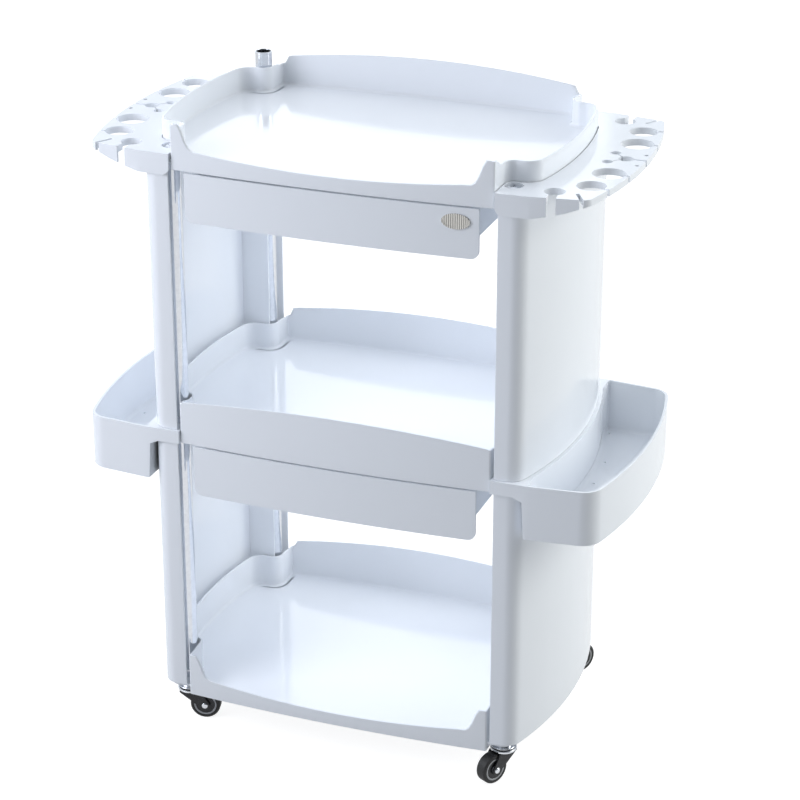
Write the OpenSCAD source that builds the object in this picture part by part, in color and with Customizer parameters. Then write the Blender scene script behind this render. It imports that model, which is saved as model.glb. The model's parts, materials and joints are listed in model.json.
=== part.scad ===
// Rolling salon trolley: three moulded trays between two hollow side walls, two drawers,
// two side bins, two tool holders, four steel tie tubes and four swivel casters.
// Frame: origin on the floor under the middle of the trolley, +X to its right,
// +Y to its back, +Z up. Millimetres.

/* [Overall] */
// Clear width between the left and right posts
clear_w = 420; // [400:5:440]
// Depth over the front and rear posts
depth = 345; // [335:1:355]
// Width of one post, seen from the front
post_w = 28; // [27:0.5:30]
// Depth of the post's channel behind its front face
post_d = 45; // [44:0.5:47]
// Bulge of a side wall beyond the posts
wall_bulge = 31; // [29:0.5:33]
// Wall thickness of the mouldings
wall = 2.5; // [2.2:0.1:2.8]

/* [Heights] */
// Foot of the lower side walls above the floor
foot_z = 62; // [62:0.5:64]
// Height of the lower side walls
lower_wall_h = 350; // [340:1:360]
// Height of the side bins' mounting band between the walls
band_h = 17.5; // [16:0.5:18]
// Height of the upper side walls
upper_wall_h = 352; // [345:0.5:360]
// Depth of each tray's skirt below its corner plates
skirt_drop = 8.5; // [8:0.5:9]

/* [Trays] */
// Width of a tray's front wall
tray_w = 412; // [408:1:414]
// Greatest width of a tray over its bulged sides
tray_side_w = 512; // [508:1:520]
// Forward bulge of the front and rear walls
front_bulge = 8; // [4:0.5:9]
// Height of a tray's floor above its lower edge
tray_floor = 14; // [13:0.5:15]
// Thickness of a tray's corner plates
plate_t = 4; // [4:0.5:4]

/* [Drawers] */
// Width of a drawer front
drawer_w = 376; // [366:1:378]
// Depth of a drawer from front to back
drawer_d = 300; // [260:5:305]
// Height of the upper drawer front
upper_drawer_h = 62; // [58:1:62]
// Height of the lower drawer front
lower_drawer_h = 66; // [60:1:66]

/* [Bins and tool holders] */
// Distance from the middle of the trolley to the outside of a bin
bin_x = 358; // [345:1:360]
// Depth of a bin below its rim
bin_h = 71; // [60:1:75]
// Distance from the middle of the trolley to the outside of a tool holder
holder_x = 338; // [336:1:340]
// Thickness of a tool holder's plate
holder_t = 8.5; // [8:0.5:9]
// Radius of the two small tool holes nearest the corners
tool_r1 = 18; // [15:0.5:18.5]
// Radius of the two large tool holes
tool_r2 = 20.5; // [16:0.5:21]
// Radius of the centre tool hole
tool_r3 = 9.5; // [8:0.5:10]
// Radius of the four small pin holes
small_r = 6.5; // [5:0.5:7]

/* [Tubes and casters] */
// Outer radius of the tie tubes
tube_r = 11; // [10.5:0.1:11]
// Height of the accessory tube above the tool holder
tube_rise = 41; // [30:1:60]
// Wheel radius
wheel_r = 20; // [18:0.5:20]
// Wheel width
wheel_w = 16; // [14:0.5:16]
// Distance from the swivel axis to the wheel's axle
trail = 20; // [18:0.5:20]

/* [Hidden] */

cut = 1;
plastic = [0.87, 0.91, 0.96];
steel = [0.75, 0.76, 0.78];
black = [0.08, 0.08, 0.09];
grey = [0.55, 0.56, 0.58];

half_w = clear_w / 2;
half_d = depth / 2;
post_x = half_w + post_w;

// Heights of the stacked pieces
band_web = 5;
band_z = foot_z + lower_wall_h;
rim_z = band_z + band_h;
wall_top = rim_z + upper_wall_h;
holder_z = wall_top + plate_t;
holder_top = holder_z + holder_t;
spigot_top = rim_z - band_web - plate_t;
bottom_tray_z = foot_z - plate_t - skirt_drop;
middle_tray_z = spigot_top - skirt_drop;
top_tray_z = wall_top - skirt_drop;

// Tie tubes, with their axes behind the front faces of the posts
tube_x = half_w + 9;
tube_y = half_d - 30.5;
tube_wall = 1.2;
tube_hole_r = tube_r + 0.25;
socket_r = 9.4;
insert_h = 25;
insert_r = tube_r - tube_wall - 0.05;
stem_r = 5;
screw_r = 4;
screw_hole_r = screw_r + 0.3;
run_clear = 0.05;

// Side walls: posts with rounded corners, bulged panels and webs
post_round = 20;
panel_mid_x = post_x + wall_bulge;
panel_sag = wall_bulge - 2;
panel_r = (half_d * half_d + panel_sag * panel_sag) / (2 * panel_sag);
web_y = tube_y - tube_r - 0.5;
web_t = 2.5;
lap_gap = 0.2;
spigot_wall = 2.2;

// Trays
tray_wall = 2.5;
floor_t = 3;
notch_x = tray_w / 2;
notch_y = half_d - 46.5;
notch_r = 12;
shoulder_r = 22;
ear_x = 169;
ear_run = 28;
tray_mid_x = tray_side_w / 2;
tray_end_x = tray_mid_x - 14;
plate_x = half_w + 24;
plate_y = half_d - 3.5;

// Drawers and their rails
drawer_wall = 2.5;
drawer_front_t = 3;
drawer_side_x = drawer_w / 2 - 12;
drawer_base = 16;
drawer_lip = 7.5;
lip_t = 2.5;
lip_front_y = 12 - half_d;
drawer_back_y = drawer_d - half_d;
drawer_top_gap = 3;
rail_x = drawer_side_x + drawer_lip + 1;
screw_x = rail_x + 6;
rail_t = 2.5;
rail_front_y = 32.5 - half_d;
rail_gap = 0.4;
boss_r = 4;
boss_h = 6;
rail_screw_r = 1.6;
upper_drawer_z = top_tray_z - 2 - upper_drawer_h;
lower_drawer_z = middle_tray_z - 2 - lower_drawer_h;

// Bins and tool holders
bin_wall = 3;
bin_proud = 4;
bin_sag = 23;
bin_round = 27;
bin_gap = 2;
bin_inner_x = post_x + 12;
bin_shoulder_x = bin_inner_x - 3;
bin_web_x = half_w - 3.4;
holder_gap = 0.9;
holder_skirt_z = rim_z + upper_wall_h - 15;
hollow_x = post_x + 8.5;
recess_r = 11.5;
recess_d = 4;
slot_w = 4.6;
key_r = 12.9;
key_slot = 11;

// Casters
axle_z = wheel_r;
axle_r = 2.5;
cup_z = 2 * wheel_r + 0.6;
cup_h = 3.6;
cup_r = 17;
cup_inner_r = 15.6;
fork_plate_r = cup_inner_r - 0.1;
fork_plate_z = cup_z + 0.6;
fork_plate_t = 2.2;
race_z = fork_plate_z + fork_plate_t + 3;
race_t = foot_z - plate_t - skirt_drop - 1.5 - race_z;
kingpin_r = 4;
ball_r = 1.4;
ball_ring_r = 10;
cheek_y = wheel_w / 2 + 1;
cheek_t = 1.8;
cheek_r = 6.5;
// Name, side, end and rest angle of each caster's trail
casters = [
    ["front_left", -1, -1, 14],
    ["front_right", 1, -1, -119],
    ["rear_left", -1, 1, 205],
    ["rear_right", 1, 1, 58]];

// ---------- outline helpers ----------

function unit(v) = v / norm(v);
function polar(c, r, a) = c + r * [cos(a), sin(a)];

// Vertex b between a and c, rounded with radius r
function fillet(a, b, c, r, n) =
    r <= 0 ? [b] :
    let (u = unit(a - b), w = unit(c - b), half = acos(u * w) / 2)
    let (centre = b + unit(u + w) * r / sin(half))
    let (s = b + u * r / tan(half) - centre, e = b + w * r / tan(half) - centre)
    let (a0 = atan2(s.y, s.x), turn = (atan2(e.y, e.x) - a0 + 540) % 360 - 180)
    [for (k = [0:n]) polar(centre, r, a0 + turn * k / n)];

// Closed outline from corners [x, y, radius]
function rounded(p, n = 6) =
    let (m = len(p), xy = [for (q = p) [q[0], q[1]]])
    [for (i = [0:m - 1]) each fillet(xy[(i + m - 1) % m], xy[i], xy[(i + 1) % m], p[i][2], n)];

// Inner points of an arc from a to b that bows by sag to the right of that direction
function bow(a, b, sag, n) =
    let (d = norm(b - a) / 2, r = (d * d + sag * sag) / (2 * sag))
    let (side = unit([b.y - a.y, a.x - b.x]), centre = (a + b) / 2 + side * (sag - r))
    let (span = asin(d / r), mid = atan2(side.y, side.x))
    [for (k = [1:n - 1]) let (p = polar(centre, r, mid - span + 2 * span * k / n)) [p.x, p.y, 0]];

// The same points seen from the other end of the trolley, in the opposite order
function flip_y(p) = [for (i = [len(p) - 1:-1:0]) [p[i][0], -p[i][1], p[i][2]]];
function half_turn(p) = [for (q = p) [-q[0], -q[1], q[2]]];

// Right side wall's contour moved inwards by t, closed at x = open_x
function wall_contour(t, open_x) =
    let (y = half_d - t, x = panel_mid_x - panel_r + sqrt(pow(panel_r - t, 2) - y * y))
    let (front = [[open_x, -y, 0], [x, -y, post_round - t]])
    rounded(concat(front, bow([x, -y], [x, y], panel_mid_x - t - x, 18), flip_y(front)));

// Tray's contour moved inwards by t
function tray_side(t) =
    let (e = [tray_end_x - t, t - notch_y])
    let (front = [
        [notch_x - t, t - half_d, 2.6 - t],
        [notch_x - t, e.y, notch_r + t],
        [e.x, e.y, shoulder_r - t]])
    concat(front, bow(e, [e.x, -e.y], tray_mid_x - tray_end_x, 12), flip_y(front));
function front_bow(t) =
    bow([t - notch_x, t - half_d], [notch_x - t, t - half_d], front_bulge, 20);
function tray_contour(t) =
    let (front = front_bow(t), side = tray_side(t))
    rounded(concat(front, side, half_turn(front), half_turn(side)));

// Right bin's contour moved inwards by t, from x = x0 with corner radius r0
function bin_contour(t, x0, r0) =
    let (e = [bin_x - bin_sag - t, t + 4 - half_d], y = t - bin_proud - half_d)
    let (front = [[x0 + t, y, r0], [post_x + 18, y, 0], [e.x, e.y, bin_round - t]])
    rounded(concat(front, bow(e, [e.x, -e.y], bin_sag, 12), flip_y(front)), 10);

// Right tool holder's contour moved inwards by t
function holder_contour(t) =
    let (e = [holder_x - 22 - t, t + 9 - half_d])
    let (front = [
        [notch_x + holder_gap, t - 4 - half_d, 0],
        [post_x + 9, t - 2.5 - half_d, 0],
        [e.x, e.y, 12 - t]])
    rounded(concat(front, bow(e, [e.x, -e.y], 22, 28), flip_y(front)));

// ---------- shared shapes ----------

module to_side(side) {
    if (side < 0) mirror([1, 0, 0]) children();
    else children();
}

module slab(z0, z1) {
    translate([0, 0, z0]) linear_extrude(z1 - z0) children();
}

module bore(x, y, r, z0, z1) {
    translate([x, y, z0]) cylinder(r = r, h = z1 - z0, $fn = 96);
}

module at_corners() {
    for (sx = [-1, 1]) for (sy = [-1, 1]) translate([sx * tube_x, sy * tube_y, 0]) children();
}

// ---------- trays ----------

// Height of a low front wall between its raised corner ears
function lip_top(x) =
    let (a = abs(x), s = min(1, max(0, (a - ear_x) / ear_run)))
    17.5 + 8.5 * pow(min(a, ear_x) / ear_x, 2) + 16 * (1 - cos(180 * pow(s, 2.1)));
function arch(x, ends, crown) = crown - (crown - ends) * pow(x / notch_x, 2);

// Prism over the top of a front or rear wall; tops holds the wall's height along x
module wall_trim(z0, tops) {
    xs = [for (i = [0:len(tops) - 1]) -notch_x - 2 + (2 * notch_x + 4) * i / (len(tops) - 1)];
    profile = [for (i = [0:len(tops) - 1]) [xs[i], z0 + tops[i]]];
    translate([0, -half_d + 12, 0]) rotate([90, 0, 0]) linear_extrude(30)
        polygon(concat([[-notch_x - 2, z0 + 100]], profile, [[notch_x + 2, z0 + 100]]));
}

// Prism over the side walls, whose rim meets the front and rear corners at other heights
module side_trim(z0, front_h, rear_h, rim) {
    y1 = half_d + 10;
    y0 = half_d - 4;
    edge = [
        [-y1, front_h], [-y0, front_h], [24 - y0, rim],
        [y0 - 24, rim], [y0, rear_h], [y1, rear_h]];
    profile = [for (p = edge) [p.x, z0 + p.y]];
    inner = notch_x - tray_wall - cut;
    for (side = [-1, 1]) translate([side > 0 ? inner : -inner - 80, 0, 0])
        rotate([90, 0, 90]) linear_extrude(80)
        polygon(concat([[-y1, z0 + 100]], profile, [[y1, z0 + 100]]));
}

module corner_plates(z0) {
    outer = rounded([
        [notch_x - cut, notch_y - cut, 0], [plate_x, notch_y - cut, 3],
        [plate_x, plate_y, 9], [notch_x - cut, plate_y, 3]]);
    for (sx = [0, 1]) for (sy = [0, 1]) mirror([sx, 0, 0]) mirror([0, sy, 0])
        slab(z0, z0 + plate_t) polygon(outer);
}

module tray(z0, front_tops, back_tops, front_h, rear_h, rim) {
    difference() {
        union() {
            difference() {
                slab(z0, z0 + 90) polygon(tray_contour(0));
                slab(z0 + tray_floor, z0 + 91) polygon(tray_contour(tray_wall));
                slab(z0 - cut, z0 + tray_floor - floor_t) polygon(tray_contour(tray_wall));
            }
            corner_plates(z0 + skirt_drop);
        }
        wall_trim(z0, front_tops);
        mirror([0, 1, 0]) wall_trim(z0, back_tops);
        side_trim(z0, front_h, rear_h, rim);
    }
}

// Bosses under a tray's floor for the drawer rails' screws
rail_screw_y = [50 - half_d, -5, 110];
module rail_bosses(z0) {
    z1 = z0 + tray_floor - floor_t;
    for (side = [-1, 1]) for (y = rail_screw_y) translate([side * screw_x, y, z1 - boss_h])
        difference() {
            cylinder(r = boss_r, h = boss_h + 0.5, $fn = 48);
            translate([0, 0, -cut]) cylinder(r = rail_screw_r + run_clear, h = boss_h + cut, $fn = 32);
        }
}

steps = 48;
function sweep_x(i) = -notch_x + 2 * notch_x * i / steps;
lip_tops = [for (i = [0:steps]) lip_top(sweep_x(i))];

module bottom_tray() {
    color(plastic) difference() {
        tray(bottom_tray_z, lip_tops, [for (i = [0:steps]) arch(sweep_x(i), 65, 79)], 58, 57, 60);
        at_corners() bore(0, 0, stem_r + 0.3, bottom_tray_z, foot_z + cut);
    }
}

module middle_tray() {
    color(plastic) difference() {
        union() {
            tray(middle_tray_z, [for (i = [0:steps]) arch(sweep_x(i), 56, 68)],
                [for (i = [0:steps]) arch(sweep_x(i), 58, 70.5)], 54, 47, 50);
            rail_bosses(middle_tray_z);
        }
        at_corners() bore(0, 0, tube_hole_r, middle_tray_z, spigot_top + plate_t + cut);
    }
}

module top_tray() {
    color(plastic) difference() {
        union() {
            tray(top_tray_z, lip_tops, [for (i = [0:steps]) arch(sweep_x(i), 51.5, 64.5)], 56, 42, 46.5);
            rail_bosses(top_tray_z);
        }
        for (c = [[-1, -1], [1, -1], [1, 1]])
            bore(c.x * tube_x, c.y * tube_y, screw_hole_r, top_tray_z, holder_z + cut);
        bore(-tube_x, tube_y, tube_hole_r, top_tray_z, holder_z + cut);
    }
}

// ---------- side walls ----------

// Wall between two inward offsets, with the webs behind and in front of the tubes
module wall_section(t0, t1) {
    difference() {
        polygon(wall_contour(t0, half_w));
        difference() {
            polygon(wall_contour(t1, half_w - 5));
            for (s = [-1, 1]) translate([half_w + 3, s * (web_y - web_t / 2) - web_t / 2])
                square([wall_bulge + 25, web_t]);
        }
    }
}

module lower_side_wall(side) {
    inner = wall + lap_gap;
    color(plastic) to_side(side) {
        slab(foot_z, band_z) wall_section(0, wall);
        slab(band_z - wall, band_z) wall_section(0, inner + spigot_wall);
        slab(band_z - wall, spigot_top) wall_section(inner, inner + spigot_wall);
    }
}

module upper_side_wall(side) {
    color(plastic) to_side(side) slab(rim_z, wall_top) wall_section(0, wall);
}

// ---------- side bins ----------

// Distances of the drain holes [from the middle in x, from the middle in y]
bin_drains = [
    [261, -155], [261, 155], [320, -144], [320, 144],
    [281, -67], [281, 67], [286, 0], [343, 0]];

module side_bin(side) {
    floor_z = rim_z - bin_h;
    inboard = [
        [half_w - 10, floor_z - cut], [bin_inner_x, floor_z - cut],
        [bin_shoulder_x, band_z - 5], [post_x - 3, band_z], [half_w - 10, band_z]];
    color(plastic) to_side(side) difference() {
        slab(floor_z, rim_z) polygon(bin_contour(0, bin_web_x, 0));
        slab(floor_z - cut, band_z) polygon(wall_contour(-bin_gap, half_w - 10));
        translate([0, half_d + 10, 0]) rotate([90, 0, 0])
            linear_extrude(depth + 20) polygon(inboard);
        slab(band_z - cut, rim_z - band_web) polygon(wall_contour(wall, half_w - 10));
        slab(band_z - cut, rim_z + cut) polygon(tray_contour(-0.4));
        slab(floor_z + bin_wall, rim_z + cut) difference() {
            polygon(bin_contour(bin_wall, bin_inner_x, 3));
            polygon(wall_contour(-bin_gap - wall, half_w - 10));
        }
        slab(rim_z - band_web - cut, rim_z + cut) intersection() {
            polygon(wall_contour(2 * wall, half_w - 10));
            square([2 * bin_x, 2 * web_y - 1], center = true);
        }
        for (sy = [-1, 1]) bore(tube_x, sy * tube_y, tube_hole_r, rim_z - band_web - cut, rim_z + cut);
        for (d = bin_drains) bore(d.x, d.y, 2.2, floor_z - cut, floor_z + bin_wall + cut);
    }
}

// ---------- tool holders ----------

// Round tool holes on the right [x, y, radius, slot angle] in front of the middle
tool_holes = [[303.5, -111.7, tool_r1, -19], [310, -61, tool_r2, -4]];
small_hole = [295, 18];
square_hole = [332.5, 21];
key_hole = [270, 146];

module slot(x, y, a, length, w) {
    translate([x, y, -cut]) rotate(a) translate([0, -w / 2, 0]) cube([length, w, 50]);
}

// Everything that opens through the plate on one end of a holder
module holder_openings() {
    for (h = tool_holes) {
        translate([h[0], h[1], -cut]) cylinder(r = h[2], h = 50, $fn = 96);
        slot(h[0], h[1], h[3], 50, slot_w);
    }
    translate([small_hole.x, -small_hole.y, -cut]) cylinder(r = small_r, h = 50, $fn = 64);
    slot(small_hole.x, -small_hole.y, 45, 18, 2);
    translate([square_hole.x, -square_hole.y, 24]) rotate(45)
        cube([slot_w, slot_w, 50], center = true);
    translate([key_hole.x, -key_hole.y, -cut]) cylinder(r = key_r, h = 50, $fn = 96);
    slot(key_hole.x, -key_hole.y, -83, 40, key_slot);
    slot(297, -145, -62, 40, slot_w);
}

module tool_holder(side, tube_hole_end) {
    low = holder_skirt_z;
    inner = notch_x + holder_gap - 0.05;
    underside = rounded([
        [inner, low, 10], [post_x + 12, low + 0.5, 0], [post_x + 38, low + 6, 0],
        [post_x + 52, low + 10, 0], [post_x + 76, holder_z, 0], [holder_x + 5, holder_z, 0],
        [holder_x + 5, holder_top, 0], [inner, holder_top, 0]]);
    color(plastic) to_side(side) difference() {
        intersection() {
            slab(low, holder_top) polygon(holder_contour(0));
            translate([0, half_d + 20, 0]) rotate([90, 0, 0])
                linear_extrude(depth + 40) polygon(underside);
        }
        slab(low - cut, holder_top + cut) polygon(tray_contour(-holder_gap));
        slab(low - cut, holder_z) union() {
            polygon(wall_contour(-0.4, notch_x - 5));
            intersection() {
                polygon(holder_contour(3));
                translate([hollow_x, -half_d]) square([200, depth]);
            }
        }
        translate([0, 0, low]) {
            holder_openings();
            mirror([0, 1, 0]) holder_openings();
            translate([313, 0, -cut]) cylinder(r = tool_r3, h = 50, $fn = 64);
            slot(313, 0, 0, 50, slot_w);
        }
        for (sy = [-1, 1]) if (sy == tube_hole_end)
            bore(tube_x, sy * tube_y, tube_hole_r, low, holder_top + cut);
        else {
            bore(tube_x, sy * tube_y, recess_r, holder_top - recess_d, holder_top + cut);
            bore(tube_x, sy * tube_y, screw_hole_r, low, holder_top);
        }
    }
}

// ---------- tubes, screws and washers ----------

module pipe(r_out, r_in, z0, z1) {
    translate([0, 0, z0]) difference() {
        cylinder(r = r_out, h = z1 - z0, $fn = 96);
        translate([0, 0, -cut]) cylinder(r = r_in, h = z1 - z0 + 2 * cut, $fn = 96);
    }
}

module at_screws() {
    for (c = [[-1, -1], [1, -1], [1, 1]]) translate([c.x * tube_x, c.y * tube_y, 0]) children();
}

module tie_tubes() {
    color(steel) at_screws() pipe(tube_r, tube_r - tube_wall, foot_z, wall_top);
}

// The accessory tube's upper end has a thicker wall, so that it takes a stem of socket_r
module accessory_tube() {
    color(steel) translate([-tube_x, tube_y, 0]) {
        pipe(tube_r, tube_r - tube_wall, foot_z, holder_top + 1);
        pipe(tube_r, socket_r, holder_top + 1, holder_top + tube_rise);
    }
}

module lower_tube_inserts() {
    color(black) at_corners() pipe(insert_r, stem_r + run_clear, foot_z, foot_z + insert_h);
}

module upper_tube_inserts() {
    color(black) at_screws() pipe(insert_r, screw_r + run_clear, wall_top - insert_h, wall_top);
}

washer_t = 1.2;
washer_z = holder_top - recess_d;
module tie_washers() {
    color(steel) at_screws() pipe(9.5, screw_hole_r, washer_z, washer_z + washer_t);
}

module tie_screws() {
    head_z = washer_z + washer_t;
    color(steel) at_screws() difference() {
        union() {
            translate([0, 0, head_z - 26]) cylinder(r = screw_r, h = 27, $fn = 64);
            translate([0, 0, head_z]) cylinder(r = 7, h = 1.4, $fn = 64);
            translate([0, 0, head_z + 1.4]) cylinder(r1 = 7, r2 = 5, h = 0.9, $fn = 64);
        }
        for (a = [0, 90]) rotate(a) translate([-3.2, -0.6, head_z + 1.1]) cube([6.4, 1.2, 3]);
    }
}

// ---------- drawers ----------

// Outline between two copies of the bowed front line, moved back by y0 and y1
function front_band(y0, y1) =
    let (ends = [notch_x, -half_d])
    let (line = concat([[-ends.x, ends.y]], [for (p = front_bow(0)) [p[0], p[1]]], [ends]))
    let (last = len(line) - 1)
    concat(
        [for (p = line) [p.x, p.y + y0]],
        [for (i = [last:-1:0]) [line[i].x, line[i].y + y1]]);

module drawer_front(z0, h) {
    x = drawer_w / 2;
    face = rounded([[-x, z0, 10], [x, z0, 10], [x, z0 + h, 1], [-x, z0 + h, 1]]);
    intersection() {
        slab(z0, z0 + h) polygon(front_band(0, drawer_front_t));
        translate([0, half_d, 0]) rotate([90, 0, 0]) linear_extrude(2 * depth) polygon(face);
    }
}

// Drawer tub's contour moved inwards by t, with its front edge at y
function tub_contour(t, y) =
    let (x = drawer_side_x - t, back = drawer_back_y - t)
    rounded([[-x, y, 0], [x, y, 0], [x, back, 8 - t], [-x, back, 8 - t]]);

module drawer(z0, h) {
    base = z0 + drawer_base;
    top = z0 + h - drawer_top_gap;
    front_y = -half_d - front_bulge;
    color(plastic) {
        drawer_front(z0, h);
        difference() {
            union() {
                slab(base, top) polygon(tub_contour(0, front_y));
                for (side = [0, 1]) mirror([side, 0, 0])
                    translate([drawer_side_x - 2, lip_front_y, top - lip_t])
                    cube([drawer_lip + 2, drawer_back_y - 10 - lip_front_y, lip_t]);
            }
            slab(base + drawer_wall, top + cut) polygon(tub_contour(drawer_wall, front_y - cut));
            slab(z0, z0 + h) polygon(front_band(-2 * front_bulge, drawer_front_t - 0.5));
        }
    }
}

module upper_drawer() {
    drawer(upper_drawer_z, upper_drawer_h);
}

module lower_drawer() {
    drawer(lower_drawer_z, lower_drawer_h);
}

// Oval plate near the right end of the upper drawer's front
badge_x = 160;
module badge_plate() {
    sag_r = (notch_x * notch_x + front_bulge * front_bulge) / (2 * front_bulge);
    a = asin(badge_x / sag_r);
    y = sag_r - front_bulge - half_d - sag_r * cos(a);
    function oval(rx, ry) = [for (k = [0:47]) [rx * cos(7.5 * k), ry * sin(7.5 * k)]];
    color(steel) translate([badge_x, y - 0.06, upper_drawer_z + 45]) rotate([90, 0, a]) difference() {
        linear_extrude(1.6) polygon(oval(17.5, 9.5));
        translate([0, 0, 1.2]) linear_extrude(1) polygon(oval(15.6, 7.8));
    }
}

// ---------- drawer rails ----------

module rails(tray_z, drawer_z, drawer_h) {
    top = tray_z + tray_floor - floor_t - boss_h;
    ledge = drawer_z + drawer_h - drawer_top_gap - lip_t - rail_gap;
    length = drawer_back_y - rail_front_y + 4;
    ledge_x = rail_x - 7;
    color(plastic) for (side = [-1, 1]) to_side(side) translate([0, rail_front_y, 0]) difference() {
        union() {
            translate([rail_x, 0, ledge - rail_t]) cube([rail_t, length, top - ledge + rail_t]);
            translate([ledge_x, 0, ledge - rail_t]) cube([rail_x + rail_t - ledge_x, length, rail_t]);
            translate([rail_x, 0, top - rail_t]) cube([2 * (screw_x - rail_x), length, rail_t]);
            translate([ledge_x, length - rail_t, ledge - rail_t])
                cube([rail_x + rail_t - ledge_x, rail_t, 9]);
        }
        for (y = rail_screw_y) translate([screw_x, y - rail_front_y, top - rail_t - cut])
            cylinder(r = rail_screw_r + 0.3, h = rail_t + 2 * cut, $fn = 32);
    }
}

module upper_drawer_rails() {
    rails(top_tray_z, upper_drawer_z, upper_drawer_h);
}

module lower_drawer_rails() {
    rails(middle_tray_z, lower_drawer_z, lower_drawer_h);
}

module rail_screws() {
    color(steel) for (z0 = [top_tray_z, middle_tray_z]) for (side = [-1, 1]) for (y = rail_screw_y)
        translate([side * screw_x, y, z0 + tray_floor - floor_t - boss_h - rail_t]) {
            translate([0, 0, -1.8]) cylinder(r = 3.2, h = 1.8, $fn = 48);
            translate([0, 0, -0.2]) cylinder(r = rail_screw_r, h = rail_t + 4.7, $fn = 32);
        }
}

// ---------- casters ----------

function caster(name) = [for (c = casters) if (c[0] == name) c][0];

module at_caster(name) {
    c = caster(name);
    translate([c[1] * tube_x, c[2] * tube_y, 0]) rotate(c[3]) children();
}

// Stem, boss, fixed race and kingpin of all four casters
module caster_stems() {
    color(steel) at_corners() {
        translate([0, 0, foot_z - plate_t - 0.2]) cylinder(r = stem_r, h = 24, $fn = 64);
        translate([0, 0, race_z + race_t])
            cylinder(r = 12, h = foot_z - plate_t - race_z - race_t, $fn = 64);
        translate([0, 0, race_z]) cylinder(r = cup_r - 0.8, h = race_t, $fn = 96);
        translate([0, 0, race_z + 0.6]) cylinder(r = cup_r, h = race_t - 1.2, $fn = 96);
        translate([0, 0, fork_plate_z - 1])
            cylinder(r = kingpin_r, h = race_z - fork_plate_z + 1.2, $fn = 64);
        translate([0, 0, fork_plate_z - 3]) cylinder(r = 6.5, h = 2.4, $fn = 64);
    }
}

module caster_balls() {
    color(steel) at_corners() for (k = [0:7]) rotate(45 * k)
        translate([ball_ring_r, 0, fork_plate_z + fork_plate_t + 1.5]) sphere(r = ball_r, $fn = 32);
}

module fork(name) {
    edge = cup_z - 0.4;
    side_shape = concat(
        [[-11, fork_plate_z + 1], [-11, edge], [-13.5, edge], [-13.5, edge - 2]],
        [for (k = [0:8]) polar([trail, axle_z], cheek_r, -140 + 155 * k / 8)],
        [[15, edge - 1], [15, edge], [11, edge], [11, fork_plate_z + 1]]);
    hood = [[-13.5, edge], [-13.5, edge - 2], [-3.5, 30.3], [-2, 31.6], [-11.6, edge]];
    color(black) at_caster(name) difference() {
        union() {
            translate([0, 0, fork_plate_z]) cylinder(r = fork_plate_r, h = fork_plate_t, $fn = 96);
            for (s = [-1, 1]) translate([0, s * (cheek_y + cheek_t / 2) + cheek_t / 2, 0])
                rotate([90, 0, 0]) linear_extrude(cheek_t) polygon(side_shape);
            translate([0, cheek_y + 0.5, 0]) rotate([90, 0, 0])
                linear_extrude(2 * cheek_y + 1) polygon(hood);
        }
        translate([0, 0, fork_plate_z - cut]) cylinder(r = kingpin_r + run_clear, h = 10, $fn = 64);
        translate([trail, 0, axle_z]) rotate([90, 0, 0])
            cylinder(r = axle_r + run_clear, h = 60, center = true, $fn = 64);
    }
}

module cup(name) {
    color(steel) at_caster(name) translate([0, 0, cup_z]) difference() {
        union() {
            translate([0, 0, 0.6]) cylinder(r = cup_r, h = cup_h - 1.2, $fn = 96);
            cylinder(r = cup_r - 0.7, h = cup_h, $fn = 96);
        }
        translate([0, 0, -cut]) cylinder(r = cup_inner_r, h = cup_h + 2 * cut, $fn = 96);
    }
}

module on_axle(name) {
    at_caster(name) translate([trail, 0, axle_z]) rotate([90, 0, 0]) children();
}

module axle(name) {
    reach = cheek_y + cheek_t;
    color(steel) on_axle(name) {
        cylinder(r = axle_r, h = 2 * reach + 2, center = true, $fn = 64);
        for (s = [0, 1]) mirror([0, 0, s]) {
            translate([0, 0, reach + 0.1]) cylinder(r = 4, h = 0.9, $fn = 64);
            translate([0, 0, reach + 1]) cylinder(r1 = 4, r2 = 2.6, h = 0.8, $fn = 64);
        }
    }
}

module hub(name) {
    w = wheel_w / 2;
    color(grey) on_axle(name) rotate_extrude($fn = 96) polygon([
        [axle_r + run_clear, 0.8 + w], [axle_r + run_clear, -0.8 - w], [5.4, -0.8 - w], [5.4, -w + 2.2],
        [12.9, -w + 2.2], [12.9, -w + 0.5], [15.2, -w + 0.5],
        [15.2, w - 0.5], [12.9, w - 0.5], [12.9, w - 2.2], [5.4, w - 2.2], [5.4, 0.8 + w]]);
}

module tyre(name) {
    w = wheel_w / 2;
    color(black) on_axle(name) rotate_extrude($fn = 96)
        polygon(rounded([[15.25, -w, 0], [wheel_r, -w, 3], [wheel_r, w, 3], [15.25, w, 0]]));
}

module guards(name) {
    color(black) on_axle(name) for (s = [0, 1])
        mirror([0, 0, s]) translate([0, 0, wheel_w / 2 - 2.1]) difference() {
            cylinder(r = 12.8, h = 1.5, $fn = 96);
            translate([0, 0, -cut]) cylinder(r = 5.6, h = 4, $fn = 64);
        }
}

bottom_tray();
middle_tray();
top_tray();
lower_side_wall(-1);  // left_lower_side_wall
lower_side_wall(1);  // right_lower_side_wall
upper_side_wall(-1);  // left_upper_side_wall
upper_side_wall(1);  // right_upper_side_wall
side_bin(-1);  // left_side_bin
side_bin(1);  // right_side_bin
tool_holder(-1, 1);  // left_tool_holder
tool_holder(1, 0);  // right_tool_holder
tie_tubes();
accessory_tube();
lower_tube_inserts();
upper_tube_inserts();
tie_screws();
tie_washers();
upper_drawer();
lower_drawer();
badge_plate();
upper_drawer_rails();
lower_drawer_rails();
rail_screws();
caster_stems();
caster_balls();
fork("front_left");  // front_left_fork
cup("front_left");  // front_left_cup
axle("front_left");  // front_left_axle
hub("front_left");  // front_left_hub
tyre("front_left");  // front_left_tyre
guards("front_left");  // front_left_guards
fork("front_right");  // front_right_fork
cup("front_right");  // front_right_cup
axle("front_right");  // front_right_axle
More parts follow.
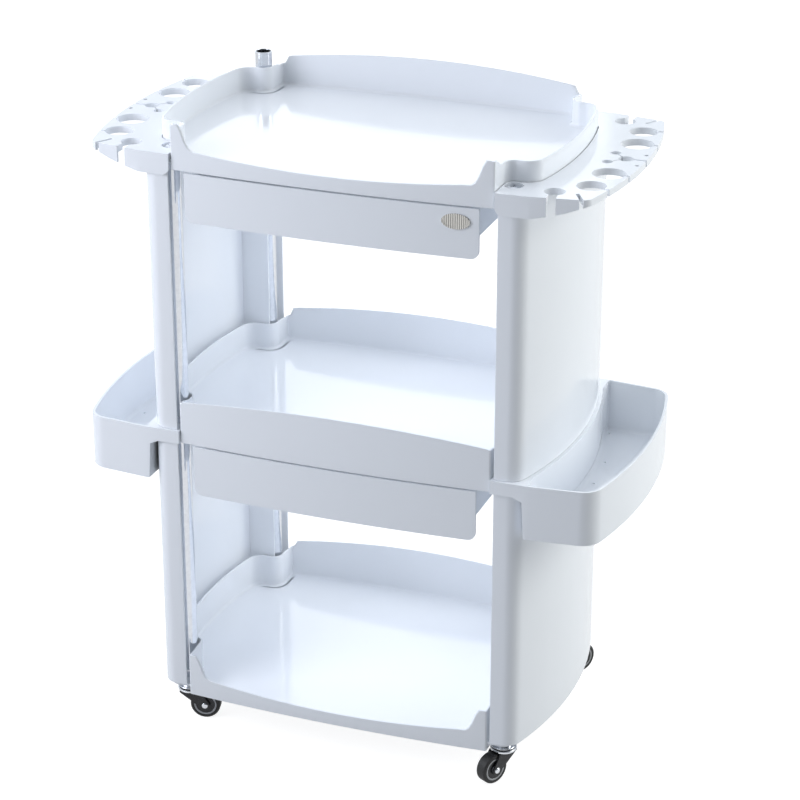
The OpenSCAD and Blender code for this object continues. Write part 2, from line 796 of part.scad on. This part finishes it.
hub("front_right");  // front_right_hub
tyre("front_right");  // front_right_tyre
guards("front_right");  // front_right_guards
fork("rear_left");  // rear_left_fork
cup("rear_left");  // rear_left_cup
axle("rear_left");  // rear_left_axle
hub("rear_left");  // rear_left_hub
tyre("rear_left");  // rear_left_tyre
guards("rear_left");  // rear_left_guards
fork("rear_right");  // rear_right_fork
cup("rear_right");  // rear_right_cup
axle("rear_right");  // rear_right_axle
hub("rear_right");  // rear_right_hub
tyre("rear_right");  // rear_right_tyre
guards("rear_right");  // rear_right_guards
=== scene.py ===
"""Looks of the rolling salon trolley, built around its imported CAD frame."""
import json
import math
import bpy
import bmesh
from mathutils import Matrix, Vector


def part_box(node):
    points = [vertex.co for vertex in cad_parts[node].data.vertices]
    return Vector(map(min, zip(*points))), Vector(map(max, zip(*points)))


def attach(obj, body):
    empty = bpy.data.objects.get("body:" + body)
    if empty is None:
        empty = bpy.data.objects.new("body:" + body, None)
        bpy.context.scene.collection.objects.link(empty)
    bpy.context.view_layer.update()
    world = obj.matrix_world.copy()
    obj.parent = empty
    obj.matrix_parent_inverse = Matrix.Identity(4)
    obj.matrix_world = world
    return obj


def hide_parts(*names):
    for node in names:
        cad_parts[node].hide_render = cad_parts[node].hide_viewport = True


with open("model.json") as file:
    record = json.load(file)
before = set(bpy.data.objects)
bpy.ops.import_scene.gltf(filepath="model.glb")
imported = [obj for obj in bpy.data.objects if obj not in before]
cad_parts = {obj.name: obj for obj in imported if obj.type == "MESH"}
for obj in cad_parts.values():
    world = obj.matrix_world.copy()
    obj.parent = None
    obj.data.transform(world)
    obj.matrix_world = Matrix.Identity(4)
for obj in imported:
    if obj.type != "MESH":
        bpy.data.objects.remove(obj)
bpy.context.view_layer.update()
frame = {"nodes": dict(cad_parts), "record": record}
NODES = frame["nodes"]
MM = 0.001


def box(name):
    """Lowest and highest corner of a CAD node in millimetres."""
    lo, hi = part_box(name)
    return lo / MM, hi / MM


# ---------------------------------------------------------------- materials

def material(name, colour, roughness, metallic=0.0, build=None, **inputs):
    """Principled material. build(node_tree, shader) adds its procedural detail."""
    m = bpy.data.materials.new(name)
    m.use_nodes = True
    nt = m.node_tree
    b = nt.nodes["Principled BSDF"]
    b.inputs["Base Color"].default_value = (*colour, 1)
    b.inputs["Roughness"].default_value = roughness
    b.inputs["Metallic"].default_value = metallic
    for key, value in inputs.items():
        b.inputs[key.replace("_", " ")].default_value = value
    if build:
        build(nt, b)
    return m


def ramp(nt, source, stops):
    """Colour ramp with stops (position, grey value or colour)."""
    r = nt.nodes.new("ShaderNodeValToRGB")
    nt.links.new(source, r.inputs[0])
    while len(r.color_ramp.elements) < len(stops):
        r.color_ramp.elements.new(0.5)
    for e, (pos, value) in zip(r.color_ramp.elements, stops):
        e.position = pos
        e.color = (*value, 1) if isinstance(value, tuple) else (value, value, value, 1)
    return r.outputs[0]


def place(nt, scale=(1, 1, 1)):
    """Object coordinates, scaled per axis."""
    co = nt.nodes.new("ShaderNodeTexCoord")
    mp = nt.nodes.new("ShaderNodeMapping")
    mp.inputs["Scale"].default_value = scale
    nt.links.new(co.outputs["Object"], mp.inputs[0])
    return mp.outputs[0]


def noise(nt, vector, scale, detail=4, rough=0.55):
    n = nt.nodes.new("ShaderNodeTexNoise")
    n.inputs["Scale"].default_value = scale
    n.inputs["Detail"].default_value = detail
    n.inputs["Roughness"].default_value = rough
    nt.links.new(vector, n.inputs["Vector"])
    return n.outputs["Fac"]


def bump(nt, b, height, strength, distance):
    """Adds a bump on top of the shader's earlier ones."""
    n = nt.nodes.new("ShaderNodeBump")
    n.inputs["Strength"].default_value = strength
    n.inputs["Distance"].default_value = distance
    nt.links.new(height, n.inputs["Height"])
    last = b.inputs["Normal"].links
    if last:
        nt.links.new(last[0].from_socket, n.inputs["Normal"])
    nt.links.new(n.outputs[0], b.inputs["Normal"])


def calc(nt, operation, *values, kind="ShaderNodeMath"):
    """Math node. A value is a number or another node's output."""
    n = nt.nodes.new(kind)
    n.operation = operation
    for slot, value in zip(n.inputs, values):
        if isinstance(value, bpy.types.NodeSocket):
            nt.links.new(value, slot)
        else:
            slot.default_value = value
    return n


def moulded(tint, deep, spread, painted_gap_shade):
    """Glossy moulded plastic: slow tone drift, shrink waves, fine pebble, faint scuffs, painted shade in
    gaps and a faint painted glow.
    """
    def build(nt, b):
        v = place(nt)
        drift = noise(nt, v, 3.2, 3)
        # Painted shade: ambient occlusion darkens the colour in gaps and crevices between parts.
        crevice_occlusion = nt.nodes.new("ShaderNodeAmbientOcclusion")
        crevice_occlusion.samples = 6
        crevice_occlusion.inputs["Distance"].default_value = 0.012
        shade = ramp(nt, crevice_occlusion.outputs["AO"], [(0.02, painted_gap_shade), (0.26, 1.0)])
        base = ramp(nt, drift, [(0.3, deep), (0.7, tint)])
        tone = calc(nt, "MULTIPLY", base, shade, kind="ShaderNodeVectorMath")
        nt.links.new(tone.outputs[0], b.inputs["Base Color"])
        # Painted light: a faint emission makes the plastic glow, less where the painted shade darkens
        # it.
        glow = calc(nt, "MULTIPLY", shade, 0.05)
        nt.links.new(glow.outputs[0], b.inputs["Emission Strength"])
        scuff = noise(nt, place(nt, (1, 1, 7)), 60, 6, 0.7)
        nt.links.new(ramp(nt, scuff, [(0.35, spread[0]), (0.75, spread[1])]), b.inputs["Roughness"])
        bump(nt, b, noise(nt, v, 18, 2), 0.01, 0.002)
        bump(nt, b, noise(nt, v, 900, 2), 0.02, 0.0004)
    return build


def white_plastic(name, painted_gap_shade):
    """White of the mouldings, with painted shade in gaps and a faint painted glow. The second argument
    is the tone of the painted shade deep inside gaps, 1 for no painted shade.
    """
    build = moulded((0.845, 0.872, 0.914), (0.828, 0.857, 0.903), (0.085, 0.15), painted_gap_shade)
    # The emission colour is the bluish tint of the painted glow.
    return material(name, (0.84, 0.868, 0.91), 0.12, build=build,
                    IOR=1.5, Emission_Color=(0.85, 0.92, 1.0, 1))


# Most parts get dark painted shade in their gaps; the trays' white gets none.
white = white_plastic("white_plastic", 0.04)
tray_white = white_plastic("tray_plastic", 1.0)


def plated(nt, b):
    """Chrome with fine drawn lines along Z and soft cloudy spots."""
    v = place(nt, (1, 1, 0.08))
    lines = noise(nt, v, 420, 3)
    nt.links.new(ramp(nt, lines, [(0.35, 0.08), (0.75, 0.2)]), b.inputs["Roughness"])
    spots = noise(nt, place(nt), 130, 5, 0.7)
    tone = ramp(nt, spots, [(0.3, (0.76, 0.78, 0.82)), (0.7, (0.86, 0.88, 0.91))])
    nt.links.new(tone, b.inputs["Base Color"])
    bump(nt, b, lines, 0.04, 0.0004)


chrome = material("chrome_steel", (0.78, 0.79, 0.81), 0.12, 1.0, build=plated)


def brushed(nt, b):
    """Metal brushed along X, with plain upright ribs."""
    v = place(nt, (0.05, 1, 1))
    lines = noise(nt, v, 1800, 3)
    nt.links.new(ramp(nt, lines, [(0.3, 0.25), (0.75, 0.45)]), b.inputs["Roughness"])
    bands = nt.nodes.new("ShaderNodeTexWave")
    bands.inputs["Scale"].default_value = 120
    bands.inputs["Distortion"].default_value = 1.5
    nt.links.new(place(nt), bands.inputs["Vector"])
    tone = ramp(nt, bands.outputs["Fac"], [(0.2, (0.30, 0.29, 0.27)), (0.6, (0.72, 0.70, 0.66))])
    nt.links.new(tone, b.inputs["Base Color"])
    bump(nt, b, lines, 0.1, 0.0003)
    bump(nt, b, bands.outputs["Fac"], 0.5, 0.0006)


badge_metal = material("brushed_metal", (0.6, 0.59, 0.57), 0.35, 1.0, build=brushed)


def satin(tones, roughs, grain, depth):
    """Plastic or rubber with a fine grain that turns lighter and rougher in places."""
    def build(nt, b):
        v = place(nt)
        g = noise(nt, v, grain, 4, 0.65)
        nt.links.new(ramp(nt, g, [(0.3, roughs[0]), (0.7, roughs[1])]), b.inputs["Roughness"])
        tone = ramp(nt, noise(nt, v, 45, 5, 0.7), [(0.3, tones[0]), (0.75, tones[1])])
        nt.links.new(tone, b.inputs["Base Color"])
        bump(nt, b, g, 0.25, depth)
    return build


black = material("black_plastic", (0.012, 0.012, 0.014), 0.3,
                 build=satin(((0.009, 0.009, 0.011), (0.02, 0.02, 0.023)), (0.22, 0.4), 700, 0.0004))
rubber = material("black_rubber", (0.015, 0.015, 0.016), 0.5,
                  build=satin(((0.011, 0.011, 0.012), (0.03, 0.029, 0.028)), (0.42, 0.65), 900, 0.0005))
grey = material("grey_plastic", (0.5, 0.51, 0.53), 0.35,
                build=satin(((0.42, 0.43, 0.45), (0.55, 0.56, 0.58)), (0.28, 0.42), 800, 0.0003))
MATERIALS = {"white_plastic": white, "chrome_steel": chrome, "brushed_metal": badge_metal,
             "black_plastic": black, "black_rubber": rubber, "grey_plastic": grey}

# ---------------------------------------------------------------- outlines (millimetres)

def fillet(a, b, c, r, n):
    """Points of an arc of radius r in the corner b between its neighbours a and c."""
    u, w = (a - b).normalized(), (c - b).normalized()
    half = math.acos(max(-1.0, min(1.0, u.dot(w)))) / 2
    centre = b + (u + w).normalized() * (r / math.sin(half))
    s, e = b + u * (r / math.tan(half)) - centre, b + w * (r / math.tan(half)) - centre
    a0 = math.atan2(s.y, s.x)
    turn = (math.atan2(e.y, e.x) - a0 + math.pi) % (2 * math.pi) - math.pi
    steps = [a0 + turn * k / n for k in range(n + 1)]
    return [centre + Vector((math.cos(t), math.sin(t))) * r for t in steps]


def rounded(corners, n=8):
    """Closed loop of points from corners (x, y, radius or None). None gives a single point."""
    out, m = [], len(corners)
    xy = [Vector(c[:2]) for c in corners]
    for i, c in enumerate(corners):
        if c[2] is None:
            out.append(xy[i])
        else:
            out += fillet(xy[i - 1], xy[i], xy[(i + 1) % m], max(c[2], 0.05), n)
    return out


def bow(a, b, sag, n, skip=0):
    """Inner points of an arc from a to b that bows by sag to the right of that direction."""
    a, b = Vector(a), Vector(b)
    d = (b - a).length / 2
    r = (d * d + sag * sag) / (2 * sag)
    side = Vector((b.y - a.y, a.x - b.x)).normalized()
    centre, span = (a + b) / 2 + side * (sag - r), math.asin(d / r)
    mid = math.atan2(side.y, side.x)
    ks = [mid - span + 2 * span * k / n for k in range(1 + skip, n - skip)]
    return [(centre.x + r * math.cos(t), centre.y + r * math.sin(t), None) for t in ks]


def flip_y(p):
    """The corners mirrored to the other side of Y, in reverse order."""
    return [(x, -y, r) for x, y, r in reversed(p)]


def half_turn(p):
    """The corners turned by 180 degrees about Z."""
    return [(-x, -y, r) for x, y, r in p]


def between(a, b, ks):
    """Points on the line from a to b at the fractions ks."""
    return [(a[0] + (b[0] - a[0]) * k, a[1] + (b[1] - a[1]) * k, None) for k in ks]


def smooth(a, b, x):
    """Eased step from 0 at a to 1 at b."""
    t = min(1.0, max(0.0, (x - a) / (b - a)))
    return t * t * (3 - 2 * t)

# ---------------------------------------------------------------- mesh building

SHARP_ANGLE = math.radians(35)


def piece(name, bm, body, slot, replaces=(), look=None):
    """Turns a bmesh in millimetres into a shown piece that rides on a body."""
    bmesh.ops.recalc_face_normals(bm, faces=bm.faces)
    bmesh.ops.scale(bm, vec=(MM, MM, MM), verts=bm.verts)
    me = bpy.data.meshes.new(name)
    bm.to_mesh(me)
    bm.free()
    for p in me.polygons:
        p.use_smooth = True
    ob = bpy.data.objects.new(name, me)
    bpy.context.scene.collection.objects.link(ob)
    me.materials.append(look or MATERIALS[slot])
    me.set_sharp_from_angle(angle=SHARP_ANGLE)
    even = ob.modifiers.new("normals", "WEIGHTED_NORMAL")
    even.keep_sharp = True
    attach(ob, body)
    if replaces:
        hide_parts(*replaces)
    return ob


def add_loop(bm, xy, z):
    """One ring of vertices; z is a number or one height per point."""
    zs = z if isinstance(z, (list, tuple)) else [z] * len(xy)
    return [bm.verts.new((p[0], p[1], h)) for p, h in zip(xy, zs)]


def skin(bm, loops, closed=False):
    """Quads between neighbouring rings of equal length."""
    pairs = list(zip(loops, loops[1:])) + ([(loops[-1], loops[0])] if closed else [])
    for a, b in pairs:
        n = len(a)
        for i in range(n):
            j = (i + 1) % n
            bm.faces.new([a[i], a[j], b[j], b[i]])


def cap(bm, ring):
    """Fills a flat ring with triangles."""
    bmesh.ops.triangulate(bm, faces=[bm.faces.new(ring)], quad_method="BEAUTY", ngon_method="BEAUTY")

# ---------------------------------------------------------------- trays

WALL = 2.5
FLOOR_H = 14.0
FLOOR_T = 3.0
SKIRT_DROP = 8.5
PLATE_T = 4.0
FLOOR_FILLET = 4.0
tray_box = {n: box(n) for n in ("bottom_tray", "middle_tray", "top_tray")}
side_lo, side_hi = box("right_upper_side_wall")
HALF_D = (side_hi.y - side_lo.y) / 2
NOTCH_X = 206.0
NOTCH_Y = HALF_D - 46.5
TRAY_MID = tray_box["top_tray"][1].x
BULGE = tray_box["top_tray"][1].y - HALF_D
PLATE_X, PLATE_Y = 234.0, HALF_D - 3.5
SIDE_SAG = 14.0
NOTCH_R = 12.0
CORNER_R = 2.6
SHOULDER_R = 22.0
EAR_X, EAR_RUN, EAR_RISE, EAR_EASE = 169.0, 28.0, 32.0, 2.1
LIP_H, LIP_DISH = 17.5, 8.5
# Rounded edges as (inset from the outside, distance from the edge)
FOOT_PROFILE = ((2.5, 0.9), (2.1, 0.3), (1.25, 0), (0.4, 0.3), (0, 0.9))
RIM_PROFILE = ((0, 1.25), (0.36, 0.37), (1.25, 0), (2.14, 0.37), (2.5, 1.25))


def tray_loop(t, inner=False):
    """Tray contour moved inwards by t, always the same number of points."""
    end_x = TRAY_MID - SIDE_SAG
    corner_r = CORNER_R if t <= 0 else max(CORNER_R - t, 2.0 if inner else 0.2)
    corner = (NOTCH_X - t, t - HALF_D, corner_r)
    e = (NOTCH_X - t, t - NOTCH_Y, NOTCH_R + t)
    start = (NOTCH_X - t, t - HALF_D + 3)
    run = between(start, (NOTCH_X - t, -NOTCH_Y - NOTCH_R), [k / 9 for k in range(1, 9)])
    front = [corner] + run + [e, (end_x - t, t - NOTCH_Y, max(SHOULDER_R - t, 1.0))]
    arc_a = (end_x - t, t - NOTCH_Y)
    side = front + bow(arc_a, (arc_a[0], -arc_a[1]), SIDE_SAG, 30, 2) + flip_y(front)
    face = bow((t - NOTCH_X, t - HALF_D), (NOTCH_X - t, t - HALF_D), BULGE, 90)
    return rounded(face + side + half_turn(face) + half_turn(side))


def lip(x):
    """Height of a low front wall, which rises to an ear at each corner."""
    a = abs(x)
    s = min(1.0, max(0.0, (a - EAR_X) / EAR_RUN))
    dished = LIP_H + LIP_DISH * (min(a, EAR_X) / EAR_X) ** 2
    return dished + EAR_RISE / 2 * (1 - math.cos(math.pi * s ** EAR_EASE))


def arch(x, ends, crown):
    """Height of a wall that is crowned in the middle."""
    return crown - (crown - ends) * (x / NOTCH_X) ** 2


def rim_heights(front, rear, corner, rim):
    """Height of the rim at each point of the tray's contour."""
    out = []
    for p in tray_loop(0):
        ax, ay = abs(p.x), abs(p.y)
        if ay > HALF_D - 0.2 and ax < NOTCH_X - CORNER_R - 0.1:
            h = front(p.x) if p.y < 0 else rear(p.x)
            if p.y > 0:
                h += (corner[1] - rear(NOTCH_X)) * smooth(NOTCH_X - 10, NOTCH_X - 3.5, ax)
        else:
            end = corner[0] if p.y < 0 else corner[1]
            h = rim + (end - rim) * smooth(HALF_D - 28, HALF_D - 4, ay)
        out.append(h)
    return out


def corner_plates(bm, z):
    """Small plates that reach from the notch walls into the posts, with a softened edge."""
    for sx in (1, -1):
        for sy in (1, -1):
            rings = []
            for o, h in ((0.6, 0), (0, 0.6), (0, PLATE_T - 0.6), (0.6, PLATE_T)):
                c = [(NOTCH_X - 1, NOTCH_Y - 1 + o, None), (PLATE_X - o, NOTCH_Y - 1 + o, 3),
                     (PLATE_X - o, PLATE_Y - o, 9), (NOTCH_X - 1, PLATE_Y - o, None)]
                rings.append(add_loop(bm, [(p.x * sx, p.y * sy) for p in rounded(c)], z + h))
            skin(bm, rings)
            cap(bm, rings[0])
            cap(bm, rings[-1])


def tray(name, front, rear, corner, rim):
    """Tray from its underside, over the skirt and the rounded rim, to the floor's inner fillet."""
    z0 = tray_box[name][0].z
    floor = z0 + FLOOR_H
    tops = [z0 + h for h in rim_heights(front, rear, corner, rim)]
    bm = bmesh.new()
    rings = [add_loop(bm, tray_loop(WALL, True), floor - FLOOR_T)]
    for t, dz in FOOT_PROFILE:
        rings.append(add_loop(bm, tray_loop(t, t > 2), z0 + dz))
    rings.append(add_loop(bm, tray_loop(0), z0 + 9))
    for t, dz in RIM_PROFILE:
        rings.append(add_loop(bm, tray_loop(t, t > 2), [h - dz for h in tops]))
    room = [max(0.6, min(FLOOR_FILLET, h - 1.6 - floor)) for h in tops]
    base = tray_loop(WALL, True)
    deep = tray_loop(WALL + FLOOR_FILLET, True)
    for k in range(0, 9):
        a = math.pi / 2 * k / 8
        xy = [p + (q - p) * (r / FLOOR_FILLET * (1 - math.cos(a))) for p, q, r in zip(base, deep, room)]
        rings.append(add_loop(bm, xy, [floor + r * (1 - math.sin(a)) for r in room]))
    rings.append(add_loop(bm, tray_loop(WALL + FLOOR_FILLET + 3, True), floor))
    skin(bm, rings)
    cap(bm, rings[0])
    cap(bm, rings[-1])
    corner_plates(bm, z0 + SKIRT_DROP)
    piece(name + "_shell", bm, "frame", "white_plastic", (name,), look=tray_white)


tray("bottom_tray", lip, lambda x: arch(x, 65, 79), (58, 57), 60)
tray("middle_tray", lambda x: arch(x, 56, 68), lambda x: arch(x, 58, 70.5), (55, 47), 50)
tray("top_tray", lip, lambda x: arch(x, 51.5, 64.5), (57, 42), 46.5)

# ---------------------------------------------------------------- bins: rounded inner edges at the floor

bin_lo, bin_hi = box("right_side_bin")
POST_X = side_lo.x + 28
BIN_WALL = 3.0
BIN_FLOOR = bin_lo.z + BIN_WALL
BIN_SAG = 23.0
BIN_PROUD = 4.0
BIN_ROUND = 27.0
BIN_FRONT_BACK = 4.0
HOLLOW_X, SLANT_X = POST_X + 15, POST_X + 18
PANEL_X, PANEL_Y, PANEL_SAG = POST_X + 17, 141.0, 19.0


def bin_loop(t):
    """Contour of a bin's hollow moved inwards by t."""
    inset = BIN_WALL + t
    x0, y0 = HOLLOW_X + t, HALF_D + BIN_PROUD - inset
    outer = (bin_hi.x - BIN_SAG - inset, BIN_FRONT_BACK + inset - HALF_D, BIN_ROUND - inset)
    side = bow(outer[:2], (outer[0], -outer[1]), BIN_SAG, 12)
    front = [(x0, -PANEL_Y - 7, None), (x0, -y0, 3), (SLANT_X, -y0, None), outer]
    panel = bow((PANEL_X + t, PANEL_Y), (PANEL_X + t, -PANEL_Y), -PANEL_SAG, 30)
    return rounded(front + side + flip_y(front) + panel)


def bin_beads(sign, name, r=5.0):
    """Concave bead along the foot of a bin's walls."""
    bm = bmesh.new()
    turns = [math.pi / 16 * k for k in range(9)]
    curve = [(r * (1 - math.cos(a)), r * (1 - math.sin(a))) for a in turns]
    section = [(-0.4, r)] + curve + [(r, -0.4), (-0.4, -0.4)]
    rings = [add_loop(bm, [(p.x * sign, p.y) for p in bin_loop(t)], BIN_FLOOR + z) for t, z in section]
    skin(bm, rings, closed=True)
    piece(name, bm, "frame", "white_plastic")


bin_beads(1, "right_bin_bead")
bin_beads(-1, "left_bin_bead")

# ---------------------------------------------------------------- rolled rim on the accessory tube

def tube_rim():
    """Rim turned around the tube's axis from a section of (radius, height over the tube's end)."""
    lo, hi = box("accessory_tube")
    x, y = (lo.x + hi.x) / 2, (lo.y + hi.y) / 2
    section = [(9.35, -7), (9.35, 1.9), (9.6, 2.4), (10.1, 2.7),
               (10.7, 2.5), (11.2, 1.9), (11.2, -1.4), (10.9, -1.8)]
    bm = bmesh.new()
    turns = [2 * math.pi * k / 64 for k in range(64)]
    rings = []
    for r, z in section:
        circle = [(x + r * math.cos(t), y + r * math.sin(t)) for t in turns]
        rings.append(add_loop(bm, circle, hi.z + z))
    skin(bm, rings, closed=True)
    piece("accessory_tube_rim", bm, "frame", "chrome_steel")


tube_rim()

# ---------------------------------------------------------------- CAD nodes kept, with softened edges

EDGE = {"white_plastic": 0.7, "chrome_steel": 0.3, "brushed_metal": 0.25,
        "black_plastic": 0.35, "black_rubber": 0.35, "grey_plastic": 0.35}
for part in frame["record"]["subparts"]:
    name, slot = part["node"], part["material_slot"]
    ob = NODES[name]
    ob.data.materials.clear()
    ob.data.materials.append(MATERIALS[slot])
    if ob.hide_render:
        continue
    weld = ob.modifiers.new("weld", "WELD")
    weld.merge_threshold = 1e-5
    bev = ob.modifiers.new("bevel", "BEVEL")
    bev.width = EDGE[slot] * MM
    bev.segments = 2
    bev.limit_method = "ANGLE"
    bev.angle_limit = math.radians(40)
    for p in ob.data.polygons:
        p.use_smooth = True
    wn = ob.modifiers.new("normals", "WEIGHTED_NORMAL")
    wn.keep_sharp = True

# ---------------------------------------------------------------- stage: floor, light, camera

def area(name, loc, target, size, power, colour=(1, 1, 1), size_y=None):
    """Area light at loc that points at target."""
    d = bpy.data.lights.new(name, "AREA")
    d.energy = power
    d.color = colour
    d.size = size
    if size_y:
        d.shape = "RECTANGLE"
        d.size_y = size_y
    o = bpy.data.objects.new(name, d)
    o.location = loc
    o.rotation_euler = (Vector(target) - Vector(loc)).to_track_quat("-Z", "Y").to_euler()
    bpy.context.scene.collection.objects.link(o)
    return o


def stage():
    """Floor, world and lights. The floor and the world are bright as in a product photo."""
    bm = bmesh.new()
    bmesh.ops.create_grid(bm, x_segments=8, y_segments=8, size=9)
    me = bpy.data.meshes.new("floor")
    bm.to_mesh(me)
    bm.free()
    floor = bpy.data.objects.new("floor", me)
    bpy.context.scene.collection.objects.link(floor)

    def paper(nt, b):
        tone = ramp(nt, noise(nt, place(nt), 2.0), [(0.2, 0.34), (0.8, 0.36)])
        nt.links.new(tone, b.inputs["Base Color"])
        path = nt.nodes.new("ShaderNodeLightPath")
        mirrored = calc(nt, "MULTIPLY", path.outputs["Is Glossy Ray"], 0.5)
        glow = calc(nt, "MULTIPLY_ADD", path.outputs["Is Camera Ray"], 0.86, mirrored.outputs[0])
        b.inputs["Emission Color"].default_value = (1, 1, 1, 1)
        nt.links.new(glow.outputs[0], b.inputs["Emission Strength"])

    me.materials.append(material("floor_paper", (0.5, 0.5, 0.5), 0.8, build=paper))
    world = bpy.data.worlds.new("studio")
    bpy.context.scene.world = world
    world.use_nodes = True
    nt = world.node_tree
    bg = nt.nodes["Background"]
    view = nt.nodes.new("ShaderNodeTexCoord").outputs["Generated"]
    split = nt.nodes.new("ShaderNodeSeparateXYZ")
    nt.links.new(view, split.inputs[0])
    up = nt.nodes.new("ShaderNodeMapRange")
    up.inputs["From Min"].default_value = -0.2
    nt.links.new(split.outputs["Z"], up.inputs["Value"])
    low, high = (0.875, 0.94, 1.0), (0.79, 0.83, 0.89)
    nt.links.new(ramp(nt, up.outputs[0], [(0.1, low), (0.45, low), (0.8, high)]), bg.inputs[0])
    back = nt.nodes.new("ShaderNodeMapRange")
    for key, value in (("From Min", -0.7), ("From Max", 0.4), ("To Min", 0.78), ("To Max", 1.12)):
        back.inputs[key].default_value = value
    nt.links.new(split.outputs["Y"], back.inputs["Value"])
    dark_side = Vector((0.64, -0.75, 0.12)).normalized()
    dot = calc(nt, "DOT_PRODUCT", view, dark_side, kind="ShaderNodeVectorMath")
    shade = nt.nodes.new("ShaderNodeMapRange")
    shade.interpolation_type = "SMOOTHSTEP"
    for key, value in (("From Min", 0.25), ("From Max", 0.95), ("To Min", 1.0), ("To Max", 0.04)):
        shade.inputs[key].default_value = value
    nt.links.new(dot.outputs["Value"], shade.inputs["Value"])
    strength = calc(nt, "MULTIPLY", back.outputs[0], shade.outputs[0])
    nt.links.new(strength.outputs[0], bg.inputs[1])
    area("key", (-1.15, -1.15, 1.25), (-0.1, -0.1, 0.6), 1.0, 15, (0.96, 0.98, 1.07))
    area("softbox", (-1.15, 3.1, 2.0), (0, 0, 0.6), 1.1, 7, (1, 1, 1), 2.4)
    area("right", (2.4, 0.75, 1.3), (0.2, 0, 0.5), 1.4, 32, (1.0, 1.0, 0.94), 1.9)
    for z in (0.335, 0.70):
        fill = area("fill", (-0.02, -0.02, z), (-0.02, -0.02, 0), 0.3, 0.3, (0.93, 0.97, 1.05), 0.24)
        fill.visible_glossy = fill.visible_camera = False
    bpy.context.scene.view_settings.view_transform = "Standard"


stage()
AZ, EL = math.radians(20.683), math.radians(23.346)
CAMERA_AT = Vector((1086.1, -2811.9, 1733.8)) * MM
FOCAL_PX, FRAME_PX = 2545.95, 800
SENSOR = 36
cam_data = bpy.data.cameras.new("camera")
cam_data.sensor_width = SENSOR
cam_data.lens = FOCAL_PX * SENSOR / FRAME_PX
cam_data.clip_end = 60
cam = bpy.data.objects.new("camera", cam_data)
bpy.context.scene.collection.objects.link(cam)
forward = Vector((-math.sin(AZ) * math.cos(EL), math.cos(AZ) * math.cos(EL), -math.sin(EL)))
cam.location = CAMERA_AT
cam.rotation_mode = "QUATERNION"
cam.rotation_quaternion = forward.to_track_quat("-Z", "Y")
bpy.context.scene.camera = cam
